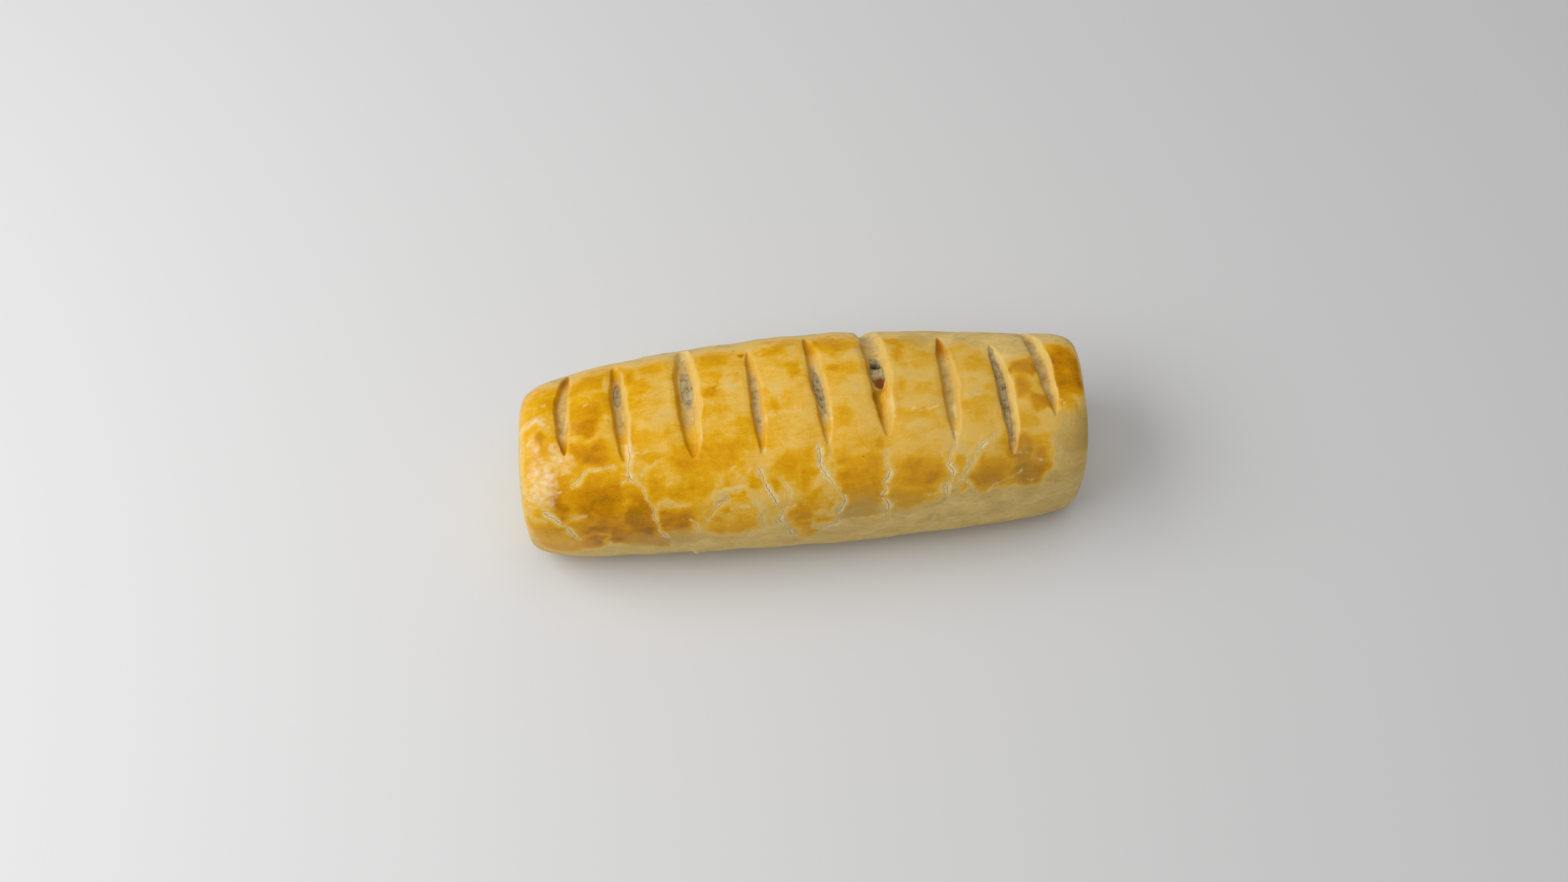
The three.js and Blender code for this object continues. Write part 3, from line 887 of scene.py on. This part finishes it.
def new_material(name):
    """An empty material with a Principled shader, its tree and the piece's Object coordinates."""
    material = bpy.data.materials.new(name)
    material.use_nodes = True
    tree = material.node_tree
    shader = tree.nodes["Principled BSDF"]
    place = add_node(tree, "TexCoord", output="Object")
    return material, tree, shader, place


def per_metre(size_mm):
    """A pattern's scale from the size of its features in mm."""
    return 1000 / size_mm


# Noise patterns of the crust: size in mm, detail and how often it repeats along each axis.
# Brush strokes and wrinkles run along the roll, and the pulled dough beside a slash runs along the slash.
CRUST_PATTERNS = {
    "cloud": (14, 2, (1, 1, 1)),
    "patch": (5.5, 2, (0.65, 1, 1)),
    "mottle": (1.8, 3, (1, 1, 1)),
    "grain": (0.4, 2, (1, 1, 1)),
    "streak": (0.9, 2, (0.3, 1, 1)),
    "pulled": (0.45, 2, (1, 0.08, 0.08)),
    "wrinkle": (1.3, 3, (0.6, 1, 1)),
    "blotch": (4.5, 4, (0.7, 1, 1)),
    "crinkle": (1.5, 4, (0.8, 1, 1)),
}
# How much the patterns change the browning: the step at a brushed patch's edge, then the others' shares
PATCH_STEP = 0.1
TONE_SHARES = {"cloud": 0.25, "mottle": 0.26, "streak": 0.14, "grain": 0.26}
# Net of veins: cell size, size of its bends and how far they reach, all in mm, and the veins' browning
VEIN_CELL, VEIN_BEND, VEIN_REACH = 10, 4, 6
VEIN_BROWNING = -0.32
SPECK_SPACING = 6
# Ragged edges of the pale places: the pattern that frays each, its share, the sums at which the place starts
# and is full, and how far it covers the crust
FRAYS = {
    "halo": ("mottle", 1.2, 0.8, 1.5, 0.7),
    "torn": ("grain", 2.5, 1.8, 2.6, 0.85),
    "bare": ("pulled", 0.7, 0.55, 1.3, 0.85),
    "stretched": ("mottle", 1.3, 0.95, 1.7, 0.7),
}
CRUST_FIELDS = (
    "browning", "tan_and_shade", "veined", "halo", "torn", "film_and_glint_share", "stretched", "crack", "bare", "soaked",
    "toasted")


def crust_patterns(tree, place):
    """The crust's noise patterns by name."""
    patterns = {}
    for name, (size, detail, stretch) in CRUST_PATTERNS.items():
        laid = add_node(tree, "Mapping", {"Scale": stretch}, {"Vector": place})
        scale = {"Scale": per_metre(size), "Detail": detail}
        patterns[name] = add_node(tree, "TexNoise", scale, {"Vector": laid})
    return patterns


def baked_tone(tree, place, value, patterns):
    """How baked each place looks: its own browning, in brushed patches with a fine grain, and paler in a
    loose net of veins where the skin stretched low on the sides."""
    bends = add_node(
        tree, "TexNoise", {"Scale": per_metre(VEIN_BEND), "Detail": 3}, {"Vector": place}, output="Color")
    bent = add_node(
        tree, "VectorMath", {1: [VEIN_REACH * MM] * 3}, {0: bends, 2: place}, operation="MULTIPLY_ADD")
    net = add_node(
        tree, "TexVoronoi", {"Scale": per_metre(VEIN_CELL)}, {"Vector": bent}, feature="DISTANCE_TO_EDGE")
    near_net = add_node(
        tree, "MapRange", {"From Min": 0.02, "From Max": 0.16, "To Min": 1, "To Max": 0},
        {"Value": net}, interpolation_type="SMOOTHSTEP")
    vein = add_node(tree, "Math", None, {0: near_net, 1: value["veined"]}, operation="MULTIPLY")
    tone = add_node(
        tree, "Math", {1: VEIN_BROWNING}, {0: vein, 2: value["browning"]}, operation="MULTIPLY_ADD")
    patch = add_node(
        tree, "MapRange",
        {"From Min": 0.43, "From Max": 0.59, "To Min": -0.5 * PATCH_STEP, "To Max": 0.5 * PATCH_STEP},
        {"Value": patterns["patch"]}, interpolation_type="SMOOTHSTEP")
    tone = add_node(tree, "Math", None, {0: patch, 1: tone}, operation="ADD")
    for name, share in TONE_SHARES.items():
        centred = add_node(tree, "Math", {1: 0.5}, {0: patterns[name]}, operation="SUBTRACT")
        tone = add_node(tree, "Math", {1: share}, {0: centred, 2: tone}, operation="MULTIPLY_ADD")
    return tone


def frayed_masks(tree, value, patterns):
    """Masks of the pale places, with ragged edges along the cracks and pulled streaks on the slopes."""
    masks = {}
    for name, (pattern, share, low, high, most) in FRAYS.items():
        ragged = add_node(
            tree, "Math", {1: share}, {0: patterns[pattern], 2: value[name]}, operation="MULTIPLY_ADD")
        masks[name] = add_node(
            tree, "MapRange", {"From Min": low, "From Max": high, "To Max": most},
            {"Value": ragged}, interpolation_type="SMOOTHSTEP")
    return masks


def egg_washed_pastry(crust):
    """Shortcrust brushed with egg and baked: satin and golden where the wash lay, and dry, floury and pale
    where the crust stayed bare or split. The wash lies in brushed patches, over a fine grain of flour."""
    material, tree, shader, place = new_material("egg_washed_pastry")
    value = {}
    for name in CRUST_FIELDS:
        value[name] = add_node(tree, "Attribute", attribute_name=name, output="Fac")
    patterns = crust_patterns(tree, place)
    mottle, grain = patterns["mottle"], patterns["grain"]
    tone = baked_tone(tree, place, value, patterns)
    masks = frayed_masks(tree, value, patterns)
    stops = (
        (0.1, crust.dough), (0.34, crust.straw), (0.52, crust.golden), (0.76, crust.amber), (1, crust.brown))
    baked = add_node(tree, "ValToRGB", None, {"Fac": tone}, stops)

    # Tan blotches, grey-brown wrinkles and flour where the dough is bare
    dry_dough = add_node(tree, "MapRange", {"From Min": 0.34, "From Max": 0.14}, {"Value": tone})
    dry_marks = (
        ("blotch", crust.tan, 0.44, 0.68, 0.45), ("wrinkle", crust.stain, 0.45, 0.68, 0.38),
        ("grain", crust.flour, 0.5, 0.8, 0.2))
    marks = []
    for name, tint, low, high, most in dry_marks:
        spread = add_node(
            tree, "MapRange", {"From Min": low, "From Max": high, "To Max": most},
            {"Value": patterns[name]})
        amount = add_node(tree, "Math", None, {0: dry_dough, 1: spread}, operation="MULTIPLY")
        marks.append((amount, tint))

    # Wrinkled film of dried egg at the left end, whitish along its ridges, which also paints the highlights
    # there
    film_and_glint = add_node(tree, "Math", None, {0: patterns["crinkle"], 1: value["film_and_glint_share"]}, operation="MULTIPLY")
    ridge = add_node(
        tree, "MapRange", {"From Min": 0.22, "From Max": 0.78, "To Max": 0.8}, {"Value": film_and_glint},
        interpolation_type="SMOOTHSTEP")
    marks.append((ridge, crust.film_and_glint))

    # Thin floors of the slashes, mottled by the filling under them
    stops = ((0.33, crust.pit), (0.5, crust.soaked), (0.75, crust.dough))
    floor = add_node(tree, "ValToRGB", None, {"Fac": mottle}, stops)
    skin = add_node(
        tree, "Mix", None, {FACTOR: value["soaked"], FIRST: baked, SECOND: floor},
        data_type="RGBA", output=RESULT)

    # Sparse specks: only the few pattern points that fall on the skin show
    cells = add_node(tree, "TexVoronoi", {"Scale": per_metre(SPECK_SPACING)}, {"Vector": place})
    speck = add_node(
        tree, "MapRange", {"From Min": 0.02, "From Max": 0.05, "To Min": 0.7, "To Max": 0},
        {"Value": cells})

    layers = (
        # The lips layer partly paints the highlight on the slashes' right slopes
        # The tan layer also paints shade on the right part of the roll
        (value["tan_and_shade"], crust.tan), *marks, (masks["halo"], crust.cream), (masks["bare"], crust.lips),
        # The flour layer also paints highlights at the flush spots beside the slashes
        (value["toasted"], crust.toasted), (masks["torn"], crust.flour), (masks["stretched"], crust.cream),
        # The seam layer paints shade in the clefts of the cracks
        (value["crack"], crust.seam), (speck, crust.speck))
    for amount, tint in layers:
        skin = add_node(
            tree, "Mix", {SECOND: tint}, {FACTOR: amount, FIRST: skin}, data_type="RGBA", output=RESULT)
    tree.links.new(skin, shader.inputs["Base Color"])

    # Satin where the wash lay, and dull along the cracks
    dry = add_node(
        tree, "MapRange", {"From Min": 0.1, "From Max": 0.4, "To Min": 0.6, "To Max": 0.22},
        {"Value": tone})
    rough = add_node(
        tree, "Math", {1: 0.3}, {0: masks["halo"], 2: dry}, operation="MULTIPLY_ADD", use_clamp=True)
    tree.links.new(rough, shader.inputs["Roughness"])

    # Fine relief: the film, the mottle and the grain, folds in bare dough, pulled ridges and crumbs
    reliefs = [(mottle, 0.6), (grain, 0.15)]
    limited = (
        (patterns["wrinkle"], dry_dough, 0.8), (patterns["pulled"], masks["bare"], 0.4),
        (grain, value["torn"], 1.2))
    for pattern, limit, share in limited:
        height = add_node(tree, "Math", None, {0: pattern, 1: limit}, operation="MULTIPLY")
        reliefs.append((height, share))
    relief = film_and_glint
    for height, share in reliefs:
        relief = add_node(tree, "Math", {1: share}, {0: height, 2: relief}, operation="MULTIPLY_ADD")
    bump = add_node(tree, "Bump", {"Strength": 0.5, "Distance": 0.3 * MM}, {"Height": relief})
    tree.links.new(bump, shader.inputs["Normal"])
    shader.inputs["Specular IOR Level"].default_value = 0.16
    shader.inputs["Subsurface Weight"].default_value = 0.08
    shader.inputs["Subsurface Radius"].default_value = (1.2 * MM, 0.6 * MM, 0.25 * MM)
    shader.inputs["Subsurface Scale"].default_value = 1
    return material


# Patterns of the filling and of the floor, in mm
FLAKE_SIZE, SPICE_SIZE, TOOTH_SIZE = 1.6, 3, 3


def flaked_fish(filling):
    """Cooked, flaked fish in a little sauce: moist and grey-brown, with painted shade in the gaps between
    flakes and in its pits, and rusty with spice.
    """
    material, tree, shader, place = new_material("flaked_fish")
    flake = add_node(
        tree, "TexNoise", {"Scale": per_metre(FLAKE_SIZE), "Detail": 4, "Roughness": 0.7},
        {"Vector": place})
    spice = add_node(tree, "TexNoise", {"Scale": per_metre(SPICE_SIZE), "Detail": 3}, {"Vector": place})
    sauced = add_node(tree, "Attribute", attribute_name="sauced", output="Fac")
    hole = add_node(tree, "Attribute", attribute_name="hole", output="Fac")
    # The darkest stop is painted shade in the gaps between flakes
    stops = ((0.32, filling.shade), (0.46, filling.moist), (0.64, filling.flesh))
    body = add_node(tree, "ValToRGB", None, {"Fac": flake}, stops)
    amount = add_node(tree, "Math", {1: 0.7}, {0: spice, 2: sauced}, operation="MULTIPLY_ADD")
    stain = add_node(tree, "MapRange", {"From Min": 0.5, "From Max": 1, "To Max": 1}, {"Value": amount})
    # The gap colour paints the shade at the bottom of the pits
    for part, tint in ((stain, filling.sauce), (hole, filling.gap)):
        body = add_node(
            tree, "Mix", {SECOND: tint}, {FACTOR: part, FIRST: body}, data_type="RGBA", output=RESULT)
    tree.links.new(body, shader.inputs["Base Color"])
    bump = add_node(tree, "Bump", {"Strength": 0.35, "Distance": 0.3 * MM}, {"Height": flake})
    tree.links.new(bump, shader.inputs["Normal"])
    shader.inputs["Roughness"].default_value = 0.4
    return material


def matt_board(stage):
    """Matt painted board: even and pale, with the faintest tooth."""
    material, tree, shader, place = new_material("matt_board")
    tooth = add_node(tree, "TexNoise", {"Scale": per_metre(TOOTH_SIZE), "Detail": 3}, {"Vector": place})
    bump = add_node(tree, "Bump", {"Strength": 0.05, "Distance": 0.1 * MM}, {"Height": tooth})
    tree.links.new(bump, shader.inputs["Normal"])
    shader.inputs["Base Color"].default_value = stage.floor
    shader.inputs["Roughness"].default_value = 0.6
    return material


# Browning of a slash's left wall, which paints the shade on the wall that faces away from the light, and
# paling of the wash beside a crack
WALL_SHADE_BROWNING = 0.18
CRACK_PALING = 0.25
# Veins show low on the sides between these degrees, in patches of a size, between these values of its noise
VEIN_TURNS = (22, 48)
VEIN_PATCH = 11 * MM
VEIN_SPREAD = (-0.1, 0.4)
# Pale dough along a crack: its middle share of the halo, how that changes over a size, and its share at a tip
HALO_SHARE, HALO_CHANGE = 0.65, 0.4
HALO_CHANGE_SIZE = 2.5 * MM
HALO_TIP = 0.1
# Dark bottom of a crack, painted shade in its narrow cleft: its depth of colour, and its spread in half
# widths of the cleft
SEAM_SHADE_TINT, SEAM_SHADE_SPREAD = 0.7, 1.2
# Stretch lines: how ragged they are, then share and width of the line and of the haze beside it
LINE_RAG, LINE_RAG_SIZE = 0.6 * MM, 0.9 * MM
LINE_WIDTHS = ((0.5, 0.4 * MM), (0.3, 1.6 * MM))
# How white a crack's bed is, and a baked-on crumb, and how hazy the crust is round the crumb; at the flush
# spots of height 0 this white and haze are painted highlights
BED_WHITE, CRUMB_AND_GLINT_WHITE, CRUMB_AND_GLINT_HAZE = 0.9, 0.7, 0.8
SHARP_ANGLE = math.radians(60)


def crust_fields(crust, chart, points, distance, strength):
    """What the crust's material reads, apart from the torn and stretched places."""
    bare, soaked, toasted, wall_shade = slash_colours(chart)
    browning, tan_and_shade, film_and_glint_share = browning_at(crust, chart, points)
    # The wall browning is painted shade
    browning += WALL_SHADE_BROWNING * wall_shade - CRACK_PALING * strength * bell(distance, crust.halo * strength)
    low_down = smooth(*VEIN_TURNS, np.abs(np.degrees(chart.turn)))
    spread = crust.halo * (HALO_SHARE + HALO_CHANGE * noise_at(points, HALO_CHANGE_SIZE))
    spread *= HALO_TIP + (1 - HALO_TIP) * strength ** 2
    # Painted shade along the bottom of each crack's cleft
    seam = np.clip(SEAM_SHADE_SPREAD - distance / cleft_half_width(crust, strength), 0, 1)
    return {
        "browning": browning, "tan_and_shade": tan_and_shade, "film_and_glint_share": film_and_glint_share, "bare": bare, "soaked": soaked,
        "toasted": toasted, "veined": low_down * smooth(*VEIN_SPREAD, noise_at(points, VEIN_PATCH)),
        "halo": strength * bell(distance, spread), "crack": SEAM_SHADE_TINT * strength * seam}


class FISHROLL_OT_crust(bpy.types.Operator):
    """Makes the slashed and cracked pastry case"""

    bl_idname = "fish_roll.crust"
    bl_label = "Make Crust"

    def execute(self, context):
        form, crust = context.scene.fish_roll_form, context.scene.fish_roll_crust
        shift = frame_shift(form)
        cracks = CrackMap(form, ((1, CRACKS), (0.7, FINE_CRACKS)))
        lines = CrackMap(form, ((1, STRETCH_LINES),))
        shape = box_of_cells((crust.cells_along, crust.cells_across, crust.cells_up))
        refine_crust(form, shape, cracks, lines)
        mesh = mesh_from("crust", shape)
        chart = chart_of(form, corners_of(mesh))
        soft = dough_relief(form, chart)
        points = layer_points(form, SKIN, chart, soft)
        distance, strength = cracks.nearest(points)
        cracked, bed = crack_relief(crust, points, distance, strength)
        relief = soft + slash_relief(crust, chart) + cracked + lump_relief(points, crust.lump)
        torn = BED_WHITE * bed
        gap, ease = lines.nearest(points)
        gap = np.abs(gap + LINE_RAG * noise_at(points, LINE_RAG_SIZE))
        stretched = ease * sum(share * bell(gap, width) for share, width in LINE_WIDTHS)
        # Flush spots of height 0 paint highlights in white and haze
        for height, spot in CRUMBS_AND_GLINTS:
            crumb = spot_at(chart, spot)
            relief += height * crumb
            torn = np.maximum(torn, CRUMB_AND_GLINT_WHITE * crumb)
            stretched = np.maximum(stretched, CRUMB_AND_GLINT_HAZE * crumb)
        set_points(mesh, layer_points(form, SKIN, chart, relief) + shift)
        set_values(mesh, crust_fields(crust, chart, points, distance, strength))
        set_values(mesh, {"torn": torn, "stretched": stretched})

        piece = add_object("crust", mesh)
        hollow_out(piece, form, shift)
        piece.data.shade_smooth()
        piece.data.set_sharp_from_angle(angle=SHARP_ANGLE)
        piece.data.materials.clear()
        piece.data.materials.append(egg_washed_pastry(crust))
        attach(piece, "root")
        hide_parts("pastry")
        return {"FINISHED"}


# How far beyond a window the filling lies flush, and rises towards it
DOME_GROWTH, RISE_GROWTH = 1.15, 1.6
# Flakes of the filling: their size, and how far they lie under the core's surface, in heights of a flake
FLAKE_SPACING = 2.2 * MM
FLAKE_SINK = 0.8


class FISHROLL_OT_filling(bpy.types.Operator):
    """Makes the core of flaked fish"""

    bl_idname = "fish_roll.filling"
    bl_label = "Make Filling"

    def execute(self, context):
        scene = context.scene
        form, crust, filling = scene.fish_roll_form, scene.fish_roll_crust, scene.fish_roll_filling
        shape = box_of_cells((filling.cells_along, filling.cells_across, filling.cells_up))
        refine_core(form, shape)
        mesh = mesh_from("fish_filling", shape)
        chart = layer_chart(form, CORE, corners_of(mesh))
        soft = dough_relief(form, chart)
        flakes = noise_at(layer_points(form, CORE, chart, soft), FLAKE_SPACING)
        inset = CORE.top + (CORE.side - CORE.top) * np.sin(chart.turn) ** 2
        relief = soft + filling.lump * (flakes - FLAKE_SINK)
        skin = soft + lump_relief(layer_points(form, CORE, chart, soft + inset), crust.lump)
        for slash in SLASHES:
            cut = cut_at(slash, chart)
            dome = filling.proud * (2 * window_at(slash, chart, cut, DOME_GROWTH) - 1)
            level = skin + inset - crust.shut_depth * cut.taper * trough_at(cut) + dome
            relief += window_at(slash, chart, cut, RISE_GROWTH) * (level - relief)
        # The hole's dark colour is painted shade at the bottom of the pits
        hole = np.max([share * spot_at(chart, spot) for share, spot in SHADED_HOLES], axis=0)
        relief -= filling.dip * hole ** 2
        set_points(mesh, layer_points(form, CORE, chart, relief) + frame_shift(form))
        set_values(mesh, {"sauced": spot_at(chart, SAUCE), "hole": hole})
        mesh.shade_smooth()
        mesh.materials.append(flaked_fish(filling))
        piece = add_object("fish_filling", mesh)
        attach(piece, "root")
        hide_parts("filling")
        return {"FINISHED"}


FLOOR_HALF = 3
WINDOW_PLACE = Vector((-0.5, -0.03, 0.5))
CEILING_PLACE = Vector((0.1, 0.05, 1.5))
CLIP_START = 0.01


class FISHROLL_OT_stage(bpy.types.Operator):
    """Makes the floor, the light and the camera"""

    bl_idname = "fish_roll.stage"
    bl_label = "Make Stage"

    def execute(self, context):
        scene = context.scene
        form, stage = scene.fish_roll_form, scene.fish_roll_stage
        shape = bmesh.new()
        bmesh.ops.create_grid(shape, x_segments=1, y_segments=1, size=FLOOR_HALF)
        floor = add_object("floor", mesh_from("floor", shape))
        floor.data.materials.append(matt_board(stage))

        shift = Vector(frame_shift(form))
        target = Vector((stage.target_along, stage.target_across, 0)) + shift
        level = math.cos(stage.pitch)
        aside, behind = math.sin(stage.azimuth) * level, -math.cos(stage.azimuth) * level
        back = Vector((aside, behind, math.sin(stage.pitch)))
        camera = bpy.data.objects.new("camera", bpy.data.cameras.new("camera"))
        camera.data.lens = stage.lens
        camera.data.clip_start = CLIP_START
        camera.location = target + stage.distance * back
        camera.rotation_euler = back.to_track_quat("Z", "Y").to_euler()
        scene.collection.objects.link(camera)
        scene.camera = camera

        lights = (
            ("window", stage.window_power, stage.window_width, stage.window_height, WINDOW_PLACE),
            ("ceiling", stage.ceiling_power, stage.ceiling_size, stage.ceiling_size, CEILING_PLACE))
        for name, power, width, height, place in lights:
            light = bpy.data.objects.new(name, bpy.data.lights.new(name, "AREA"))
            light.data.shape = "RECTANGLE"
            light.data.energy = power
            light.data.size = width
            light.data.size_y = height
            light.location = place
            light.rotation_euler = place.to_track_quat("Z", "Y").to_euler()
            light.visible_glossy = name == "window"
            scene.collection.objects.link(light)

        world = bpy.data.worlds.new("even_light")
        scene.world = world
        world.use_nodes = True
        background = world.node_tree.nodes["Background"]
        background.inputs["Color"].default_value = (1, 1, 1, 1)
        background.inputs["Strength"].default_value = stage.sky
        world.cycles_visibility.glossy = False
        scene.view_settings.view_transform = "Standard"
        return {"FINISHED"}


class FISHROLL_PT_panel(bpy.types.Panel):
    """Lists the pieces of the roll and its stage"""

    bl_idname = "FISHROLL_PT_panel"
    bl_label = "Fish Roll"
    bl_space_type = "VIEW_3D"
    bl_region_type = "UI"
    bl_category = "Fish Roll"

    def draw(self, context):
        for operator in OPERATORS:
            self.layout.operator(operator.bl_idname)
        for group in SETTINGS:
            settings = getattr(context.scene, group)
            for name in settings.__annotations__:
                self.layout.prop(settings, name)


SETTINGS = {
    "fish_roll_form": FishRollForm,
    "fish_roll_crust": FishRollCrust,
    "fish_roll_filling": FishRollFilling,
    "fish_roll_stage": FishRollStage,
}
OPERATORS = (FISHROLL_OT_stage, FISHROLL_OT_crust, FISHROLL_OT_filling)
CLASSES = (*SETTINGS.values(), *OPERATORS, FISHROLL_PT_panel)


def register():
    for item in CLASSES:
        bpy.utils.register_class(item)
    for name, group in SETTINGS.items():
        setattr(bpy.types.Scene, name, PointerProperty(type=group))


def unregister():
    for name in SETTINGS:
        delattr(bpy.types.Scene, name)
    for item in reversed(CLASSES):
        bpy.utils.unregister_class(item)


def main():
    register()
    bpy.ops.fish_roll.stage()
    bpy.ops.fish_roll.crust()
    bpy.ops.fish_roll.filling()


if __name__ == "__main__":
    main()
